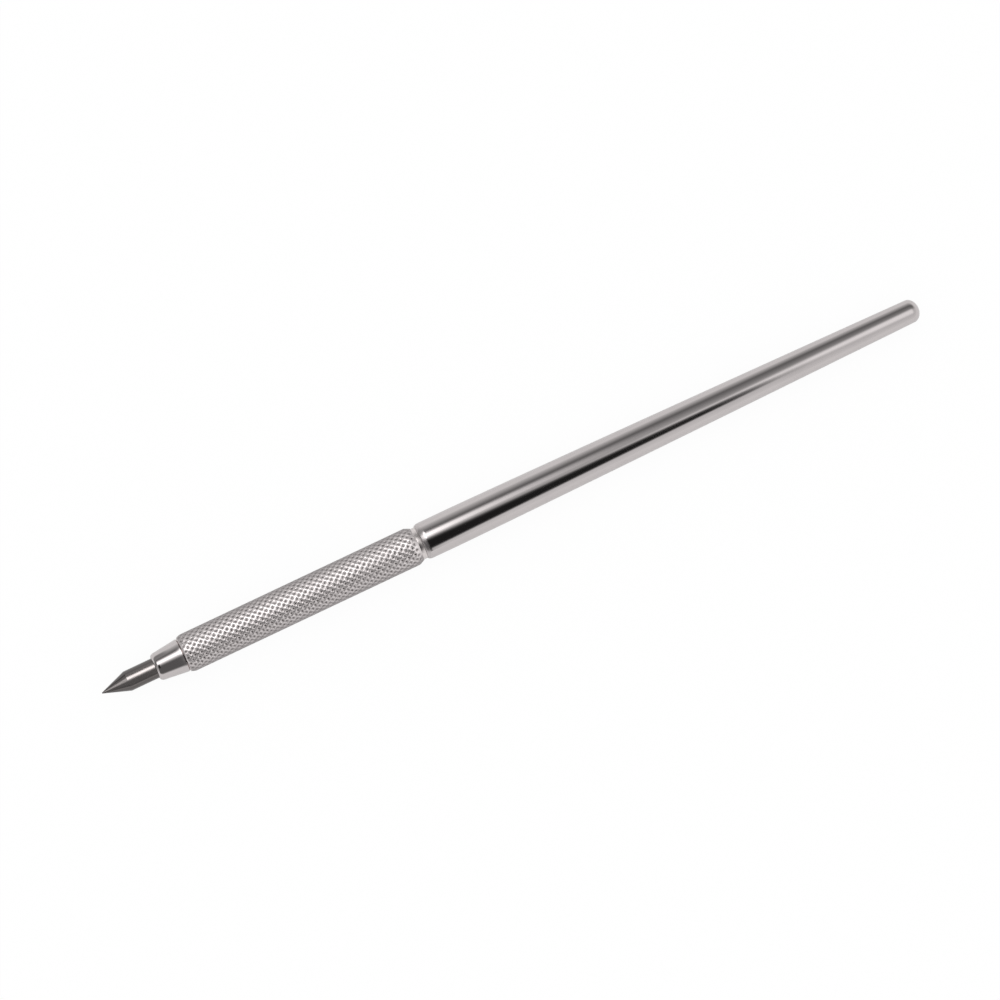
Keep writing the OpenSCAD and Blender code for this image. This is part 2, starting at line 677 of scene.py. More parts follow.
@dataclass(frozen=True)
class EffectKit:
    """Builds each shared effect once, as a node group with named inputs and outputs."""

    ring_wander: float = 0.7
    hair_tilt: tuple[float, float, float] = (0.0, 0.06, 0.09)
    hair_stretch: tuple[float, float, float] = (0.035, 1.0, 1.0)
    least_speck: float = 0.35

    def group(self, effect: Effect) -> bpy.types.NodeTree:
        """Gives an effect's group, building it when it is first asked for.

        Args:
            effect: The effect.

        Returns:
            Its node group.
        """
        known = bpy.data.node_groups.get(effect.value)
        if known:
            return known
        tree = bpy.data.node_groups.new(effect.value, "ShaderNodeTree")
        makers = {
            Effect.TOOL_LINES: self._tool_lines,
            Effect.HAIRLINES: self._hairlines,
            Effect.SPECKS: self._specks,
            Effect.CLOUDS: self._clouds,
        }
        makers[effect](tree)
        return tree

    def use(self, sheet: NodeSheet, effect: Effect, **inputs: float) -> Link:
        """Places an effect in a material.

        Args:
            sheet: The material's sheet.
            effect: The effect.
            inputs: Values of its inputs, by name in lower case.

        Returns:
            The effect's output.
        """
        node = sheet.add("ShaderNodeGroup", node_tree=self.group(effect))
        for key, value in inputs.items():
            node.inputs[key.capitalize()].default_value = value
        return node.outputs[0]

    @staticmethod
    def _sockets(
        tree: bpy.types.NodeTree,
        output: str,
        **inputs: float,
    ) -> tuple[NodeSheet, bpy.types.Node, bpy.types.Node]:
        """Makes a group's named sockets.

        Args:
            tree: The group.
            output: Name of its one output.
            inputs: Names of its inputs in lower case, with their plain values.

        Returns:
            A sheet on the group, its input node and its output node.
        """
        kind = "NodeSocketFloat"
        for key, value in inputs.items():
            socket = tree.interface.new_socket(key.capitalize(), in_out="INPUT", socket_type=kind)
            socket.default_value = value
        tree.interface.new_socket(output, in_out="OUTPUT", socket_type=kind)
        sheet = NodeSheet(tree)
        return sheet, sheet.add("NodeGroupInput"), sheet.add("NodeGroupOutput")

    def _tool_lines(self, tree: bpy.types.NodeTree) -> None:
        """Fine rings round the tool, as a turning tool, a grinding wheel or a polishing mop leaves them.

        Args:
            tree: The empty group.
        """
        sheet, given, result = self._sockets(tree, "Height", lines=9000.0)
        apart = sheet.add("ShaderNodeSeparateXYZ", in_0=sheet.place())
        wander = sheet.noise(sheet.place(), scale=400.0, detail=1.0)
        along = sheet.times(apart.outputs["X"], given.outputs["Lines"])
        askew = sheet.plus(along, wander, self.ring_wander)
        rings = sheet.noise(askew, scale=1.0, detail=2.0, dimensions="1D")
        sheet.feed(result.inputs["Height"], rings)

    def _hairlines(self, tree: bpy.types.NodeTree) -> None:
        """Sparse hairline scratches that run along the tool, a little askew.

        Args:
            tree: The empty group.
        """
        sheet, given, result = self._sockets(tree, "Mask", fineness=9000.0, amount=0.5)
        turned = sheet.add("ShaderNodeMapping", in_0=sheet.place())
        turned.inputs["Rotation"].default_value = self.hair_tilt
        turned.inputs["Scale"].default_value = self.hair_stretch
        scaled = sheet.add("ShaderNodeVectorMath", operation="SCALE", in_0=turned.outputs[0])
        sheet.feed(scaled.inputs["Scale"], given.outputs["Fineness"])
        fine = sheet.noise(scaled.outputs[0], scale=1.0, detail=1.0)
        broad = sheet.noise(sheet.place(), scale=140.0, detail=2.0)
        streaks = sheet.ramp(fine, low=0.66, high=0.78)
        patches = sheet.ramp(broad, low=0.42, high=0.68)
        mask = sheet.times(sheet.times(streaks, patches), given.outputs["Amount"])
        sheet.feed(result.inputs["Mask"], mask)

    def _specks(self, tree: bpy.types.NodeTree) -> None:
        """Scattered nicks and specks of uneven size.

        Args:
            tree: The empty group.
        """
        sheet, given, result = self._sockets(tree, "Mask", density=0.1, spacing=700.0, size=0.16)
        cells = sheet.add("ShaderNodeTexVoronoi", in_0=sheet.place())
        sheet.feed(cells.inputs["Scale"], given.outputs["Spacing"])
        draw = sheet.add("ShaderNodeSeparateColor", in_0=cells.outputs["Color"])
        chosen = sheet.math("LESS_THAN", draw.outputs[0], given.outputs["Density"])
        share = sheet.math("ADD", draw.outputs[1], self.least_speck)
        reach = sheet.times(given.outputs["Size"], share)
        near = sheet.math("DIVIDE", cells.outputs["Distance"], reach)
        dot = sheet.ramp(near, low=1.0, high=0.5)
        sheet.feed(result.inputs["Mask"], sheet.times(dot, chosen))

    def _clouds(self, tree: bpy.types.NodeTree) -> None:
        """Soft uneven patches of handling film or oil.

        Args:
            tree: The empty group.
        """
        sheet, given, result = self._sockets(tree, "Mask", scale=250.0, low=0.35, high=0.7)
        noise = sheet.noise(sheet.place(), given.outputs["Scale"], detail=4.0)
        mask = sheet.ramp(noise, given.outputs["Low"], given.outputs["High"])
        sheet.feed(result.inputs["Mask"], mask)


EFFECTS = EffectKit()


class Finish(Protocol):
    """Anything that can make a material."""

    def make(self) -> bpy.types.Material:
        """Builds the material."""


@dataclass(frozen=True)
class PolishedPlating:
    """Mirror plating with polishing lines, hairlines and a few nicks; its threads are plain and dull."""

    name: str
    colour: Colour = (0.548, 0.513, 0.511)
    film_tone: float = 0.9
    film_share: float = 0.35
    nick_colour: Colour = (0.85, 0.84, 0.82)
    nick_share: float = 0.6
    bore_colour: Colour = BORE_COLOUR
    plain_roughness: float = 0.07
    hair_height: float = -0.8
    line_depth: float = 4e-8

    def make(self) -> bpy.types.Material:
        """Builds the material.

        Returns:
            The material.
        """
        sheet = MetalSheet(self.name)
        rings = EFFECTS.use(sheet, Effect.TOOL_LINES, lines=7000.0)
        hairs = EFFECTS.use(sheet, Effect.HAIRLINES, fineness=14000.0, amount=0.6)
        nicks = EFFECTS.use(sheet, Effect.SPECKS, density=0.05, spacing=500.0, size=0.12)
        film = EFFECTS.use(sheet, Effect.CLOUDS, scale=160.0, low=0.4, high=0.75)
        bore = sheet.marked(Mark.BORE)
        turned = sheet.marked(Mark.TURNED)
        filmed = tuple(self.film_tone * c for c in self.colour)
        tint = sheet.mix(sheet.times(film, self.film_share), self.colour, filmed)
        tint = sheet.mix(sheet.times(nicks, self.nick_share), tint, self.nick_colour)
        tint = sheet.mix(bore, tint, self.bore_colour)
        dull = sheet.roughness(
            self.plain_roughness,
            (rings, 0.03),
            (hairs, 0.1),
            (nicks, 0.35),
            (film, 0.02),
            (turned, 0.24),
            (bore, 0.3),
        )
        return sheet.finish(tint, dull, sheet.plus(rings, hairs, self.hair_height), self.line_depth)


@dataclass(frozen=True)
class SatinKnurl:
    """Satin plating over the knurl: bright worn ridges, dark smoother pits that are partly grime and partly
    painted shade, and painted shade towards its outline.
    """

    name: str
    colour: Colour = (0.82, 0.765, 0.76)
    ridge_colour: Colour = (0.95, 0.895, 0.89)
    # Painted shade: the colour that the knurl darkens to towards its outline
    outline_shade_colour: Colour = (0.36, 0.335, 0.335)
    # Dark colour of the pits, the front groove and the rear bevel's foot: partly grime, partly painted
    # shade
    pit_colour: Colour = (0.15, 0.137, 0.133)
    speck_colour: Colour = (0.32, 0.31, 0.3)
    speck_share: float = 0.4
    turned_colour: Colour = (0.68, 0.635, 0.625)
    bore_colour: Colour = BORE_COLOUR
    metal: float = 0.97
    plain_roughness: float = 0.46
    line_height: float = 0.3
    grain_depth: float = 2e-6

    def make(self) -> bpy.types.Material:
        """Builds the material.

        Returns:
            The material.
        """
        sheet = MetalSheet(self.name, self.metal)
        grain = sheet.noise(sheet.place(), scale=9000.0, detail=3.0)
        patches = sheet.noise(sheet.place(), scale=1400.0, detail=2.0)
        film = EFFECTS.use(sheet, Effect.CLOUDS, scale=220.0, low=0.3, high=0.7)
        specks = EFFECTS.use(sheet, Effect.SPECKS, density=0.08, spacing=900.0, size=0.2)
        lines = EFFECTS.use(sheet, Effect.TOOL_LINES, lines=9000.0)
        pit = sheet.marked(Mark.PIT)
        bore = sheet.marked(Mark.BORE)
        turned = sheet.marked(Mark.TURNED)
        ridge = sheet.times(sheet.ramp(pit, low=0.3, high=0.0), sheet.math("SUBTRACT", 1.0, turned))
        worn = sheet.times(ridge, sheet.ramp(film, low=0.0, high=1.0, to_low=1.0, to_high=0.6))
        patchy = sheet.ramp(patches, low=0.35, high=0.65, to_low=0.65)
        # Darkening in the pits, the front groove and the rear bevel's foot: partly grime, partly painted
        # shade
        grime_and_shade = sheet.times(sheet.ramp(pit, low=0.35, high=0.85), patchy)
        tint = sheet.mix(worn, self.colour, self.ridge_colour)
        # Painted shade: the colour darkens towards the knurl's outline, following the Layer Weight facing
        # value
        tint = sheet.mix(sheet.ramp(sheet.facing(), low=0.13, high=0.46), tint, self.outline_shade_colour)
        tint = sheet.mix(grime_and_shade, tint, self.pit_colour)
        tint = sheet.mix(sheet.times(specks, self.speck_share), tint, self.speck_colour)
        tint = sheet.mix(turned, tint, self.turned_colour)
        tint = sheet.mix(bore, tint, self.bore_colour)
        dull = sheet.roughness(
            self.plain_roughness,
            (grain, 0.06),
            (worn, -0.18),
            (turned, -0.24),
            (grime_and_shade, -0.18),
        )
        return sheet.finish(tint, dull, sheet.plus(grain, lines, self.line_height), self.grain_depth)


@dataclass(frozen=True)
class GroundCarbide:
    """Dark grey carbide with grinding lines round the rod and its cone, and painted shade towards its
    outline.
    """

    name: str
    colour: Colour = (0.53, 0.49, 0.48)
    dark_colour: Colour = (0.42, 0.385, 0.375)
    coarse_share: float = 0.6
    film_share: float = 0.3
    speck_colour: Colour = (0.12, 0.11, 0.105)
    # Painted shade: the colour that the carbide darkens to towards its outline
    outline_shade_colour: Colour = (0.125, 0.115, 0.113)
    plain_roughness: float = 0.1
    coarse_height: float = 0.5
    line_depth: float = 9e-7

    def make(self) -> bpy.types.Material:
        """Builds the material.

        Returns:
            The material.
        """
        sheet = MetalSheet(self.name)
        fine = EFFECTS.use(sheet, Effect.TOOL_LINES, lines=16000.0)
        coarse = EFFECTS.use(sheet, Effect.TOOL_LINES, lines=3500.0)
        specks = EFFECTS.use(sheet, Effect.SPECKS, density=0.12, spacing=3600.0, size=0.22)
        film = EFFECTS.use(sheet, Effect.CLOUDS, scale=700.0, low=0.35, high=0.7)
        dark = sheet.plus(sheet.times(coarse, self.coarse_share), film, self.film_share)
        tint = sheet.mix(dark, self.colour, self.dark_colour)
        tint = sheet.mix(specks, tint, self.speck_colour)
        # Painted shade: the colour darkens towards the outline of the rod and cone, following the Layer
        # Weight facing value
        tint = sheet.mix(sheet.ramp(sheet.facing(), low=0.06, high=0.3), tint, self.outline_shade_colour)
        dull = sheet.roughness(self.plain_roughness, (fine, 0.1), (specks, 0.2))
        return sheet.finish(tint, dull, sheet.plus(fine, coarse, self.coarse_height), self.line_depth)


@dataclass(frozen=True)
class OiledSteel:
    """Dark oiled steel of the stud, rubbed bright on the crests of its threads."""

    name: str
    colour: Colour = (0.1, 0.095, 0.09)
    rubbed_colour: Colour = (0.34, 0.33, 0.32)
    rubbed_share: float = 0.55
    oil_colour: Colour = (0.06, 0.055, 0.05)
    oil_share: float = 0.4
    speck_colour: Colour = (0.18, 0.165, 0.15)
    plain_roughness: float = 0.34
    line_depth: float = 1.5e-6

    def make(self) -> bpy.types.Material:
        """Builds the material.

        Returns:
            The material.
        """
        sheet = MetalSheet(self.name)
        oil = EFFECTS.use(sheet, Effect.CLOUDS, scale=900.0, low=0.3, high=0.7)
        specks = EFFECTS.use(sheet, Effect.SPECKS, density=0.15, spacing=1800.0, size=0.25)
        lines = EFFECTS.use(sheet, Effect.TOOL_LINES, lines=12000.0)
        crest = sheet.ramp(sheet.marked(Mark.PIT), low=0.2, high=0.0)
        tint = sheet.mix(sheet.times(crest, self.rubbed_share), self.colour, self.rubbed_colour)
        tint = sheet.mix(sheet.times(oil, self.oil_share), tint, self.oil_colour)
        tint = sheet.mix(specks, tint, self.speck_colour)
        dull = sheet.roughness(self.plain_roughness, (oil, -0.1), (lines, 0.08))
        return sheet.finish(tint, dull, lines, self.line_depth)


# Pieces


def dress(piece: bpy.types.Object, finish: Finish, node: str, body: Body) -> None:
    """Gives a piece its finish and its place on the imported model.

    Args:
        piece: The finished piece.
        finish: What its material is made from.
        node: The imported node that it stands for.
        body: The body that it rides on.
    """
    piece.data.materials.append(finish.make())
    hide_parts(node)
    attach(piece, body.value)
    LOG.info("%s: %d faces, stands for %s on %s", piece.name, len(piece.data.polygons), node, body.value)


@dataclass
class PointRod:
    """The carbide rod with its ground cone; lengths and radii in mm."""

    line: ToolLine
    tip_r: float = 0.08
    tip_edge: float = 0.03
    cone_l: float = 4.65
    rod_r: float = 1.75
    chamfer: float = 0.2
    crease: float = 12.0
    segments: int = 96

    def build(self) -> None:
        """Turns the rod and dresses it."""
        rear = self.line.seat_at
        lathe = Lathe(self.line)
        lathe.turn(
            [
                (0.0, 0.0),
                (0.0, self.tip_r),
                (self.cone_l, self.rod_r),
                (rear - self.chamfer, self.rod_r),
                (rear, self.rod_r - self.chamfer),
                (rear, 0.0),
            ],
            self.segments,
        )
        lathe.round_edges([(0.0, self.tip_r)], self.tip_edge)
        piece = lathe.finish("point_rod", crease=self.crease)
        dress(piece, GroundCarbide("ground_carbide"), "carbide_point", Body.POINT)


@dataclass
class NoseHolder:
    """The polished nose that holds the rod, with its threaded shank; lengths and radii in mm."""

    line: ToolLine
    thread: Thread
    seat_r: float = 1.8
    seat_edge: float = 0.05
    lip_flat: float = 0.1
    lip_l: float = 1.0
    lip_r: float = 2.45
    lip_steps: int = 10
    shoulder_r: float = 2.925
    shoulder_edge: float = 0.08
    face_r: float = 2.2
    relief_l: float = 0.6
    relief_r: float = 1.55
    shank_l: float = 8.0
    segments: int = 112

    @property
    def shank_end(self) -> float:
        """Station of the shank's end."""
        return self.line.grip_at + self.shank_l

    def shank_limit(self, spot: Spot) -> float:
        """Trims the shank's thread at its relief and its end chamfer.

        Args:
            spot: A point on the plain thread.

        Returns:
            The radius that is left.
        """
        behind_relief = max(0.0, spot.station - self.line.grip_at - self.relief_l)
        before_end = max(0.0, self.shank_end - spot.station)
        return min(spot.radius, self.relief_r + behind_relief, self.relief_r + before_end)

    def inside(self, spot: Spot) -> float:
        """Whether a point is on the shank or in the rod's seat, as 1 or 0."""
        on_shank = spot.station > self.line.grip_at + PAST_EDGE
        return float(on_shank or spot.radius < self.seat_r + PAST_EDGE)

    def build(self) -> None:
        """Turns the nose, threads its shank and dresses it."""
        front, seat_end, shoulder = self.line.nose_at, self.line.seat_at, self.line.grip_at
        lip_face, lip_side = (front, self.seat_r + self.lip_flat), (front + self.lip_l, self.lip_r)
        lathe = Lathe(self.line)
        lathe.turn(
            [
                (seat_end, 0.0),
                (seat_end, self.seat_r),
                (front, self.seat_r),
                *quarter_round(lip_face, lip_side, self.lip_steps),
                (shoulder, self.shoulder_r),
                (shoulder, self.face_r),
            ],
            self.segments,
        )
        lathe.cut_thread(self.thread, (shoulder, self.shank_end), shoulder, self.shank_limit)
        lathe.join(shoulder)
        lathe.close(self.shank_end, self.shank_end)
        lathe.round_edges([(front, self.seat_r)], self.seat_edge)
        lathe.round_edges([(shoulder, self.shoulder_r)], self.shoulder_edge)
        lathe.mark(Mark.BORE, self.inside)
        piece = lathe.finish("nose_holder")
        dress(piece, PolishedPlating("polished_nose"), "point_holder", Body.HOLDER)


@dataclass
class Bore:
    """A tapped and countersunk hole; its mouth may face either way along the tool."""

    thread: Thread
    mouth: float
    depth: float
    inward: int
    drill_half_angle: float = 59.0

    @property
    def bottom(self) -> float:
        """Station of the end of the hole's wall."""
        return self.mouth + self.inward * self.depth

    def limit(self, spot: Spot) -> float:
        """Trims the hole's thread at its countersink and its runout.

        Args:
            spot: A point on the plain thread.

        Returns:
            The radius that is left.
        """
        inside = abs(spot.station - self.mouth)
        left = max(0.0, self.depth - inside)
        return max(self.thread.mouth_r - inside, min(spot.radius, self.thread.root_r + left))

    def cut(self, lathe: Lathe) -> None:
        """Adds the hole's skin and joins it to the face round its mouth.

        Args:
            lathe: The piece that gets the hole.
        """
        span = (min(self.mouth, self.bottom), max(self.mouth, self.bottom))
        lathe.cut_thread(self.thread, span, self.mouth, self.limit)
        lathe.join(self.mouth)
        reach = self.thread.root_r / math.tan(math.radians(self.drill_half_angle))
        lathe.close(self.bottom, self.bottom + self.inward * reach)


@dataclass
class GripBar:
    """The knurled grip with its bevels, its neck and a tapped hole in either end; sizes in mm."""

    line: ToolLine
    thread: Thread
    front_r: float = 2.975
    front_bevel: float = 1.0
    front_chamfer: float = 0.3
    chamfer_slope: float = 1.3
    crest_r: float = 3.3
    rear_bevel: float = 1.0
    bevel_foot_r: float = 2.835
    neck_r: float = 2.775
    neck_l: float = 0.7
    neck_edge: float = 0.05
    rings: int = 72
    columns: int = 36
    steps: int = 4
    pit_depth: float = 0.19
    pit_runout: float = 0.6
    crest_share: float = 1e-3
    soft_r: float = 2.9
    # Painted shade on the front chamfer's groove against the nose and at the rear bevel's foot, with the
    # lengths over which it fades
    groove_shade: float = 0.45
    groove_l: float = 0.15
    foot_shade: float = 0.35
    foot_l: float = 0.5
    front_hole: float = 8.5
    rear_hole: float = 7.5

    @property
    def front(self) -> float:
        """Station of the front face."""
        return self.line.grip_at

    @property
    def bevel_end(self) -> float:
        """Station of the rear bevel's foot."""
        return self.line.joint_at - self.neck_l

    @property
    def column_turn(self) -> float:
        """Angle from one column of crossings to the next."""
        return FULL_TURN / self.columns

    def ridge(self, share: float) -> float:
        """Fall beside a ridge, from 0 on its crest to 1 halfway to the next."""
        return math.sin(math.pi * share) ** 2

    def pit(self, spot: Spot) -> float:
        """Depth of the knurl as a share of its pits' depth.

        Args:
            spot: A point of the outside.

        Returns:
            0 on a ridge and 1 in the middle of a pit.
        """
        ring = (spot.station - self.front) / (self.bevel_end - self.front) * self.rings
        column = spot.turn / self.column_turn - 0.5
        return self.ridge((ring + column) / 2) * self.ridge((ring - column) / 2)

    def envelope(self, spot: Spot) -> float:
        """Radius that the bevels and the straight ridges leave.

        Args:
            spot: A point of the outside.

        Returns:
            The largest radius there.
        """
        off_middle = spot.turn - self.column_turn * round(spot.turn / self.column_turn)
        crest = self.crest_r * math.cos(self.column_turn / 2) / math.cos(off_middle)
        behind = spot.station - self.front
        front = self.front_r + (self.crest_r - self.front_r) * behind / self.front_bevel
        chamfer = self.front_r - self.front_chamfer + self.chamfer_slope * behind
        rear_rise = (self.crest_r - self.bevel_foot_r) / self.rear_bevel
        rear = self.bevel_foot_r + rear_rise * (self.bevel_end - spot.station)
        return min(crest, front, chamfer, rear)

    def knurl(self, lathe: Lathe, verts: list[BMVert]) -> None:
        """Presses the pits into the turned bar and lays edges along its ridges.

        Args:
            lathe: The bar.
            verts: Vertices of the bar's outside.
        """
        crests = []
        for vert in verts:
            spot = self.line.read(vert.co)
            if spot.radius < self.crest_r - PAST_EDGE:
                continue
            pit = self.pit(spot)
            inside = min(spot.station - self.front - self.front_chamfer, self.bevel_end - spot.station)
            depth = self.pit_depth * ease(inside / self.pit_runout)
            vert.co = self.line.place(spot.station, self.envelope(spot) - depth * pit, spot.turn)
            if pit < self.crest_share:
                crests.append(vert)
        bmesh.ops.connect_verts(lathe.bm, verts=crests)

    def grime_and_shade(self, spot: Spot) -> float:
        """Share of darkening at a point, partly grime and partly painted shade: full in the pits, and less
        at the feet of both bevels.

        Args:
            spot: A point of the grip.

        Returns:
            0 on a clean ridge and 1 where the darkening is full.
        """
        before_end = self.bevel_end - spot.station
        if spot.radius < self.thread.rim_r or before_end < 0:
            return 0.0
        groove = self.groove_shade * ease((self.front + self.front_chamfer - spot.station) / self.groove_l)
        foot = self.foot_shade * ease(1 - before_end / self.foot_l)
        pit = self.pit(spot) * ease(before_end / self.pit_runout)
        return max(groove, foot, pit)

    def inside(self, spot: Spot) -> float:
        """Whether a point is in one of the holes, as 1 or 0."""
        return float(spot.radius < self.thread.mouth_r - PAST_EDGE)

    def turned(self, spot: Spot) -> float:
        """Whether a point is plainly turned, on the neck or at the front chamfer, as 1 or 0."""
        on_neck = spot.station > self.bevel_end - PAST_EDGE
        return float(on_neck or spot.station < self.front + self.front_chamfer / 2)

    def knurled(self, spot: Spot) -> bool:
        """Whether a point is on the knurl, whose ridges are shaded smooth."""
        along = self.front + PAST_EDGE < spot.station < self.bevel_end - PAST_EDGE
        return along and spot.radius > self.soft_r

    def build(self) -> None:
        """Turns the grip, knurls it, taps its ends and dresses it."""
        rear = self.line.joint_at
        count = self.rings * self.steps
        stations = [self.front + (self.bevel_end - self.front) * k / count for k in range(count + 1)]
        lathe = Lathe(self.line)
        skin = lathe.turn(
            [
                (self.front, self.thread.rim_r),
                *((s, self.crest_r) for s in stations),
                (self.bevel_end, self.neck_r),
                (rear, self.neck_r),
                (rear, self.thread.rim_r),
            ],
            self.columns * self.steps,
            self.column_turn / 2,
        )
        self.knurl(lathe, skin)
        tapped = self.thread.in_hole()
        Bore(tapped, self.front, self.front_hole, inward=1).cut(lathe)
        Bore(tapped, rear, self.rear_hole, inward=-1).cut(lathe)
        lathe.round_edges([(rear, self.neck_r)], self.neck_edge)
        # The pit value carries grime and painted shade: the pits, the front groove and the rear bevel's
        # foot
        lathe.mark(Mark.PIT, self.grime_and_shade)
        lathe.mark(Mark.BORE, self.inside)
        lathe.mark(Mark.TURNED, self.turned)
        piece = lathe.finish("grip_bar", soft=self.knurled)
        dress(piece, SatinKnurl("satin_knurl"), "knurled_grip", Body.GRIP)


@dataclass
class StudScrew:
    """The headless stud inside the joint, with a hexagon socket in its front end; sizes in mm."""

    line: ToolLine
    thread: Thread
    reach: float = 7.0
    end_r: float = 1.55
    socket_flats: float = 2.0
    socket_depth: float = 2.2
    drill_cone: float = 0.5

    @property
    def front(self) -> float:
        """Station of the front end."""
        return self.line.joint_at - self.reach

    @property
    def end(self) -> float:
        """Station of the rear end."""
        return self.line.joint_at + self.reach

    def limit(self, spot: Spot) -> float:
        """Radius that the end chamfers leave of the thread."""
        inside = min(spot.station - self.front, self.end - spot.station)
        return min(spot.radius, self.end_r + max(0.0, inside))

    def worn_in(self, spot: Spot) -> float:
        """Depth below the crests as a share of the thread's depth, up to 1."""
        depth = self.thread.outer_r - self.thread.root_r
        return min(1.0, (self.thread.outer_r - spot.radius) / depth)

    def cut_socket(self, lathe: Lathe) -> None:
        """Cuts the hexagon socket and closes the front end round it.

        Args:
            lathe: The stud.
        """
        corner_r = self.socket_flats / math.sqrt(3)
        turns = [FULL_TURN * k / HEXAGON for k in range(HEXAGON)]
        corners = [lathe.bm.verts.new(self.line.place(self.front, corner_r, turn)) for turn in turns]
        rim = [lathe.bm.edges.new((corners[k - 1], corners[k])) for k in range(HEXAGON)]
        floor = extrude(lathe.bm, rim)
        bmesh.ops.translate(lathe.bm, verts=floor, vec=(self.socket_depth * MM, 0.0, 0.0))
        lathe.join(self.front)
        bottom = self.front + self.socket_depth
        lathe.close(bottom, bottom + self.drill_cone)

    def build(self) -> None:
        """Threads the stud, cuts its socket and dresses it."""
        lathe = Lathe(self.line)
        lathe.cut_thread(self.thread, (self.front, self.end), self.line.joint_at, self.limit)
        lathe.close(self.end, self.end)
        self.cut_socket(lathe)
        lathe.mark(Mark.PIT, self.worn_in)
        piece = lathe.finish("stud_screw")
        dress(piece, OiledSteel("oiled_steel"), "joining_stud", Body.STUD)


@dataclass
class HandleBar:
    """The polished handle: a straight front, a slightly swelling taper and a domed tail; sizes in mm."""

    line: ToolLine
    thread: Thread
    face_r: float = 2.85
    round_l: float = 1.1
    round_steps: int = 14
    land_r: float = 3.175
    land_l: float = 5.0
    tail_r: float = 2.0
    swell: float = 1.2
    taper_steps: int = 48
    dome_l: float = 1.6
    dome_steps: int = 16
    hole: float = 7.5
    dull_gap: float = 0.1
    dull_l: float = 0.5
    segments: int = 144

    @property
    def land_at(self) -> float:
        """Station where the straight front starts."""
        return self.line.joint_at + self.round_l

    @property
    def taper_at(self) -> float:
        """Station where the taper starts."""
        return self.land_at + self.land_l

    def taper(self) -> Outline:
        """Draws the swelling taper, without its first point.

        Returns:
            Points of station and radius.
        """
        length = self.line.tail_at - self.dome_l - self.taper_at
        shares = [k / self.taper_steps for k in range(1, self.taper_steps + 1)]
        fall = self.land_r - self.tail_r
        return [(self.taper_at + length * k, self.land_r - fall * k**self.swell) for k in shares]

    def dome(self) -> Outline:
        """Draws the domed tail, without its first point.

        Returns:
            Points of station and radius.
        """
        start = self.line.tail_at - self.dome_l
        angles = [math.pi / 2 * k / self.dome_steps for k in range(1, self.dome_steps + 1)]
        return [(start + self.dome_l * math.sin(a), self.tail_r * math.cos(a)) for a in angles]

    def inside(self, spot: Spot) -> float:
        """Whether a point is in the hole, and not on the slim end of the taper, as 1 or 0."""
        in_front = spot.station < self.taper_at + self.hole
        return float(in_front and spot.radius < self.thread.mouth_r - PAST_EDGE)

    def turned(self, spot: Spot) -> float:
        """Share of dull turning on the rounded front, which the polish leaves."""
        return ease((self.land_at - self.dull_gap - spot.station) / self.dull_l)

    def build(self) -> None:
        """Turns the handle, taps its front and dresses it."""
        front = self.line.joint_at
        lathe = Lathe(self.line)
        lathe.turn(
            [
                (front, self.thread.rim_r),
                *quarter_round((front, self.face_r), (self.land_at, self.land_r), self.round_steps),
                (self.taper_at, self.land_r),
                *self.taper(),
                *self.dome(),
            ],
            self.segments,
        )
        Bore(self.thread.in_hole(), front, self.hole, inward=1).cut(lathe)
        lathe.mark(Mark.BORE, self.inside)
        lathe.mark(Mark.TURNED, self.turned)
        piece = lathe.finish("handle_bar")
        dress(piece, PolishedPlating("polished_handle"), "handle", Body.HANDLE)


# Studio


@dataclass(frozen=True)
class Panel:
    """A soft-edged card or lamp on the tent.

    Angles are in degrees from overhead, positive towards the front; places along the tool are in metres.

    Attributes:
        level: Its light, where 1 is white.
        span: Places between which it is full.
        edges: Angles of its rear and front edges where the span starts.
        soft: Widths of its soft rear and front edges, in degrees.
        fades: Lengths over which it fades before and after the span.
        far_edges: Angles of its edges where the span ends, if they differ.
    """

    level: float
    span: tuple[float, float]
    edges: tuple[float, float]
    soft: tuple[float, float]
    fades: tuple[float, float]
    far_edges: tuple[float, float] | None = None

    def cover(self, x: float, angle: float) -> float:
        """Share of the tent's light that the panel replaces.

        Args:
            x: Place along the tool.
            angle: Angle from overhead.

        Returns:
            0 outside the panel and 1 well inside it.
        """
        start, end = self.span
        share = min(1.0, max(0.0, (x - start) / (end - start)))
        rear, front = (a + (b - a) * share for a, b in zip(self.edges, self.far_edges or self.edges))
        rear_cover = ease((angle - rear) / self.soft[0] + 0.5)
        front_cover = ease((front - angle) / self.soft[1] + 0.5)
        along = ease(1 + (x - start) / self.fades[0]) * ease(1 + (end - x) / self.fades[1])
        return rear_cover * front_cover * along


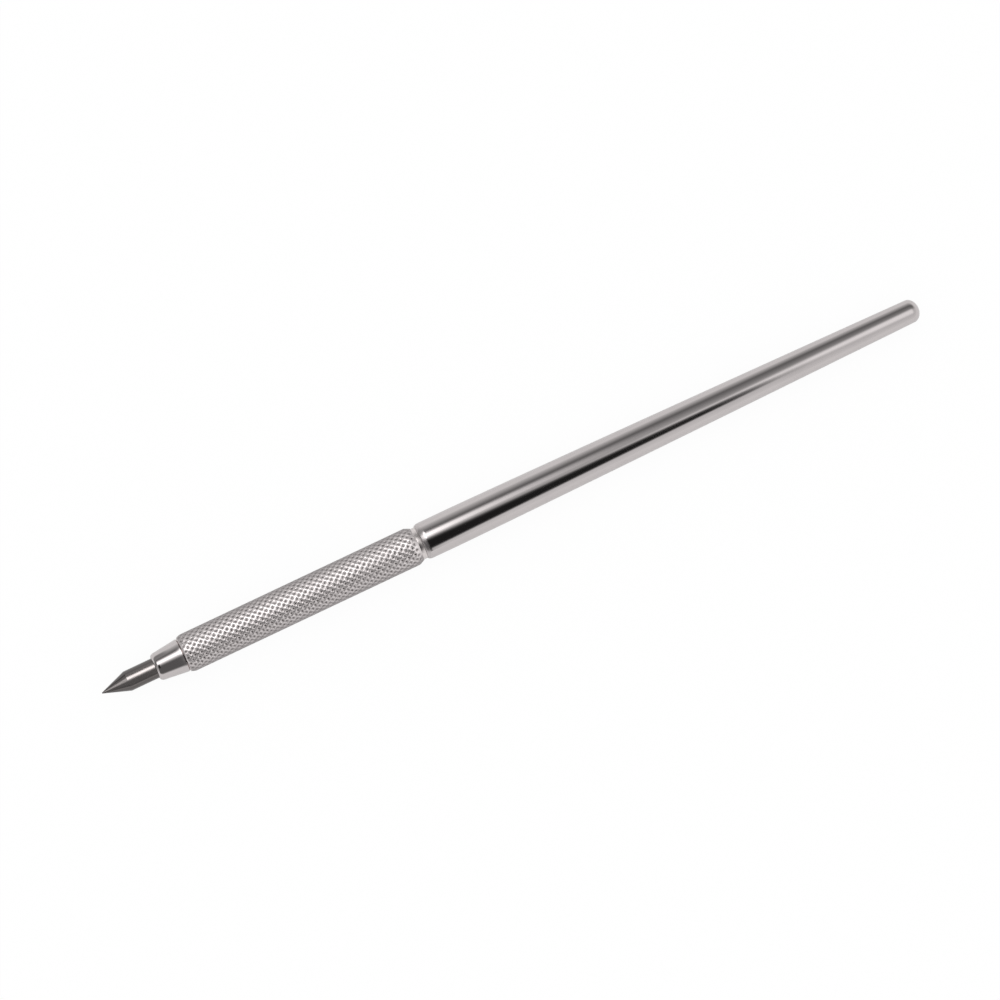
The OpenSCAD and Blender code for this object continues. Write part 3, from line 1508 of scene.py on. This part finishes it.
@dataclass
class LightTent:
    """A half-round tent over the tool, seen only in reflections.

    The stops give the level of its cloth by angle from overhead; the panels hang on the cloth, last on top.
    """

    stops: Stops
    panels: Sequence[Panel]
    height: float
    radius: float = 0.25
    reach: float = 0.4
    ring_steps: int = 180
    row_steps: int = 200
    tip_end: float = 0.25
    tail_end: float = 0.9

    def cloth(self, angle: float) -> float:
        """Level of the bare cloth at an angle, fading evenly from stop to stop.

        Args:
            angle: Angle from overhead in degrees.

        Returns:
            The level, where 1 is white.
        """
        if angle <= self.stops[0][0]:
            return self.stops[0][1]
        for (a, low), (b, high) in zip(self.stops, self.stops[1:]):
            if angle <= b:
                return low * (high / low) ** ((angle - a) / (b - a))
        return self.stops[-1][1]

    def level(self, x: float, angle: float) -> float:
        """Level of the tent with its panels.

        Args:
            x: Place along the tool in metres.
            angle: Angle from overhead in degrees.

        Returns:
            The level, where 1 is white.
        """
        level = self.cloth(angle)
        for panel in self.panels:
            cover = panel.cover(x, angle)
            level = level ** (1 - cover) * panel.level**cover
        return level

    def glow(self) -> bpy.types.Material:
        """Builds the tent's glow, which follows the level kept on its vertices.

        Returns:
            The material.
        """
        sheet = StageSheet("tent_glow")
        glow = sheet.add("ShaderNodeEmission")
        sheet.feed(glow.inputs["Strength"], sheet.marked(Mark.LEVEL))
        return sheet.finish(glow.outputs[0])

    def hang(self) -> None:
        """Builds the tent and its two ends."""
        bm = bmesh.new()
        xs = [-self.reach + 2 * self.reach * k / self.row_steps for k in range(self.row_steps + 1)]
        row = add_row(bm, (Vector((x, self.radius, self.height)) for x in xs))
        bmesh.ops.spin(
            bm,
            geom=row,
            cent=(0.0, 0.0, self.height),
            axis=(1.0, 0.0, 0.0),
            angle=math.pi,
            steps=self.ring_steps,
        )
        layer = bm.verts.layers.float.new(Mark.LEVEL.value)
        for vert in bm.verts:
            angle = math.degrees(math.atan2(-vert.co.y, vert.co.z - self.height))
            vert[layer] = self.level(vert.co.x, angle)
        for x, level in ((-self.reach, self.tip_end), (self.reach, self.tail_end)):
            for vert in extrude(bm, open_edges(bm, x)):
                vert.co = (x, 0.0, self.height)
                vert[layer] = level
        tent = to_object(bm, "light_tent")
        tent.data.materials.append(self.glow())
        tent.visible_camera = False
        tent.visible_diffuse = False
        tent.visible_transmission = False
        tent.visible_shadow = False
        tent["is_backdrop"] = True


@dataclass
class Studio:
    """White floor, even light from all round, the light tent and the camera; lengths in metres."""

    line: ToolLine
    floor_half: float = 3.0
    floor_white: float = 0.97
    floor_glow: float = 0.94
    mirrored_glow: float = 0.3
    azimuth: float = -25.641
    elevation: float = 80.0
    lens: float = 400.0
    sensor: float = 36.0
    clip_start: float = 0.01
    clip_end: float = 20.0
    frame_width: float = 0.165689
    middle_px: tuple[float, float] = (511.37, 499.68)
    frame_px: float = 1000.0

    def light(self) -> None:
        """Sets the white world."""
        world = bpy.data.worlds.new("white_room")
        world.use_nodes = True
        ground = world.node_tree.nodes["Background"]
        ground.inputs["Color"].default_value = (1.0, 1.0, 1.0, 1.0)
        ground.inputs["Strength"].default_value = 1.0
        bpy.context.scene.world = world

    def floor_paint(self) -> bpy.types.Material:
        """Builds the floor's paint, which glows white for the camera and a little for reflections.

        Returns:
            The material.
        """
        sheet = StageSheet("white_floor")
        path = sheet.add("ShaderNodeLightPath")
        seen = sheet.times(path.outputs["Is Camera Ray"], self.floor_glow)
        mirrored = sheet.times(path.outputs["Is Glossy Ray"], self.mirrored_glow)
        paint = sheet.add("ShaderNodeBsdfDiffuse", in_0=(self.floor_white,) * 3)
        glow = sheet.add("ShaderNodeEmission")
        blend = sheet.add("ShaderNodeMixShader", in_0=sheet.math("MAXIMUM", seen, mirrored))
        sheet.feed(blend.inputs[1], paint.outputs[0])
        sheet.feed(blend.inputs[2], glow.outputs[0])
        return sheet.finish(blend.outputs[0])

    def lay_floor(self) -> None:
        """Builds the floor, which keeps the tool's faint shadow."""
        bm = bmesh.new()
        bmesh.ops.create_grid(bm, x_segments=1, y_segments=1, size=self.floor_half)
        floor = to_object(bm, "floor")
        floor.data.materials.append(self.floor_paint())
        floor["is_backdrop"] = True

    def panels(self) -> tuple[Panel, ...]:
        """Places the lamps and cards that the tool mirrors.

        Returns:
            The panels in the order in which they are hung.
        """
        tail_lamp = Panel(
            level=1.25,
            span=(0.07, 0.11),
            edges=(10.0, 24.0),
            far_edges=(-5.0, 40.0),
            soft=(28.0, 28.0),
            fades=(0.04, 0.4),
        )
        rear_card = Panel(
            level=0.3,
            span=(-0.3, -0.08),
            edges=(-84.0, -55.0),
            soft=(20.0, 20.0),
            fades=(0.05, 0.02),
        )
        soft_box = Panel(
            level=2.2,
            span=(-0.2, -0.013),
            edges=(-33.0, 1.0),
            far_edges=(-32.0, -2.0),
            soft=(22.0, 20.0),
            fades=(0.09, 0.085),
        )
        grip_lamp = Panel(
            level=3.1,
            span=(-0.04, -0.012),
            edges=(-46.0, 2.0),
            soft=(30.0, 22.0),
            fades=(0.007, 0.007),
        )
        grey_card = Panel(
            level=0.15,
            span=(-0.3, -0.046),
            edges=(11.0, 82.0),
            far_edges=(11.0, 80.0),
            soft=(18.0, 18.0),
            fades=(0.05, 0.008),
        )
        grip_card = Panel(
            level=0.25,
            span=(-0.04, -0.008),
            edges=(52.0, 100.0),
            soft=(16.0, 10.0),
            fades=(0.007, 0.007),
        )
        lens_spot = Panel(
            level=0.02,
            span=(-0.21, -0.125),
            edges=(-1.0, 26.0),
            soft=(12.0, 16.0),
            fades=(0.03, 0.012),
        )
        black_flag = Panel(
            level=0.018,
            span=(-0.03, 0.067),
            edges=(8.5, 77.0),
            far_edges=(23.0, 46.0),
            soft=(27.0, 17.0),
            fades=(0.012, 0.017),
        )
        return tail_lamp, rear_card, soft_box, grip_lamp, grey_card, grip_card, lens_spot, black_flag

    def hang_tent(self) -> None:
        """Hangs the light tent: its cloth is pale low down and darkest at the upper rear."""
        cloth = (
            (-85.0, 0.97),
            (-60.0, 0.46),
            (-42.0, 0.19),
            (-15.0, 0.35),
            (9.0, 0.62),
            (45.0, 0.78),
            (90.0, 0.95),
        )
        LightTent(cloth, self.panels(), self.line.height).hang()

    def place_camera(self) -> None:
        """Places the camera so that the tool's middle falls on its place in the picture."""
        turn, rise = math.radians(self.azimuth), math.radians(self.elevation)
        back = Vector((math.sin(turn) * math.cos(rise), -math.cos(turn) * math.cos(rise), math.sin(rise)))
        right = Vector((math.cos(turn), math.sin(turn), 0.0))
        up = back.cross(right)
        pixel = self.frame_width / self.frame_px
        aside, above = self.middle_px[0] - self.frame_px / 2, self.frame_px / 2 - self.middle_px[1]
        target = Vector((0.0, 0.0, self.line.height)) - right * aside * pixel - up * above * pixel
        data = bpy.data.cameras.new("studio_camera")
        data.sensor_width = self.sensor
        data.lens = self.lens
        data.clip_start = self.clip_start
        data.clip_end = self.clip_end
        camera = bpy.data.objects.new("studio_camera", data)
        camera.location = target + back * self.frame_width * self.lens / self.sensor
        camera.rotation_mode = "QUATERNION"
        camera.rotation_quaternion = (-back).to_track_quat("-Z", "Y")
        bpy.context.scene.collection.objects.link(camera)
        bpy.context.scene.camera = camera

    def build(self) -> None:
        """Builds the whole studio."""
        self.light()
        self.lay_floor()
        self.hang_tent()
        self.place_camera()
        bpy.context.scene.view_settings.view_transform = "Standard"


def main() -> None:
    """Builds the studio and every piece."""
    logging.basicConfig(level=logging.INFO, format="%(message)s")
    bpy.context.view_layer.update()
    line = ToolLine.of_frame()
    thread = Thread()
    Studio(line).build()
    PointRod(line).build()
    NoseHolder(line, thread).build()
    GripBar(line, thread).build()
    StudScrew(line, thread).build()
    HandleBar(line, thread).build()
    bpy.context.view_layer.update()


if __name__ == "__main__":
    main()
